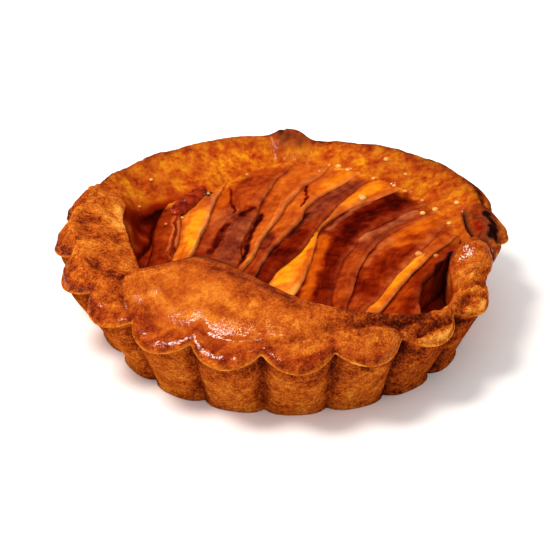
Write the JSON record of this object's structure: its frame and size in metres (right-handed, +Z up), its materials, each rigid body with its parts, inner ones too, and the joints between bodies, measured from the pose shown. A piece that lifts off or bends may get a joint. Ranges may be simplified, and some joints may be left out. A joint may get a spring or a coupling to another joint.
{
  "type": "peach tart",
  "caption": "Small round tart: a fluted pastry shell with its front folded over as a flap, dark caramelised filling and a fan of glazed, skin-on peach slices.",
  "frame": {"origin": "middle of the flat underside", "axes": "+Z up; -Y is the front, where the pastry flap is folded over the fruit; +X is to the right as seen from the front"},
  "size_m": [0.1082, 0.1086, 0.0265],
  "materials": {
    "pastry": "golden-brown baked shortcrust, matte on the wall, egg-glazed on the rim",
    "caramel": "dark, sticky caramelised fruit juice",
    "peach": "wet cooked peach flesh, orange-yellow with dark red stained edges"
  },
  "bodies": {
    "root": {"crust": "pastry", "filling": "caramel", "slice_01": "peach", "slice_02": "peach", "slice_03": "peach", "slice_04": "peach", "slice_05": "peach", "slice_06": "peach", "slice_07": "peach", "slice_08": "peach", "slice_09": "peach", "slice_10": "peach", "slice_11": "peach", "slice_12": "peach"}
  },
  "joints": []
}
